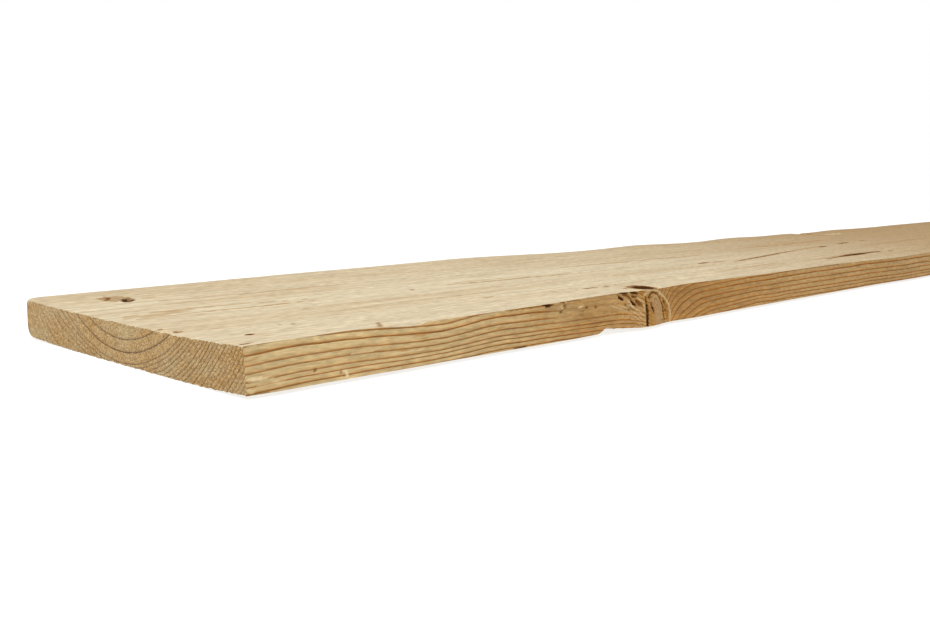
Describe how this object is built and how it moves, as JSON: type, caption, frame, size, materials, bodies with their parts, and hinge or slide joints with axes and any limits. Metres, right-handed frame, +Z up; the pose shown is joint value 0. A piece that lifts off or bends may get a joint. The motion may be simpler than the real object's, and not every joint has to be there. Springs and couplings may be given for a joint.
{
  "type": "timber plank",
  "caption": "Rough softwood plank with wavy hand-dressed long edges, square-sawn ends, a slight hollow across its width, a big knot in one edge and a small open knot in the top.",
  "frame": {"origin": "middle of the underside, on the flat middle band that the plank lies on: half way along the length and half way between the mean lines of the two wavy edges", "axes": "+X along the length, away from the end that is seen first; +Y across the width, from the edge with the big knot to the other edge; +Z up, out of the top face"},
  "size_m": [2, 0.3396, 0.03],
  "materials": {
    "timber": "rough-sawn and brushed, unfinished"
  },
  "bodies": {
    "root": {"plank": "timber"}
  },
  "joints": []
}
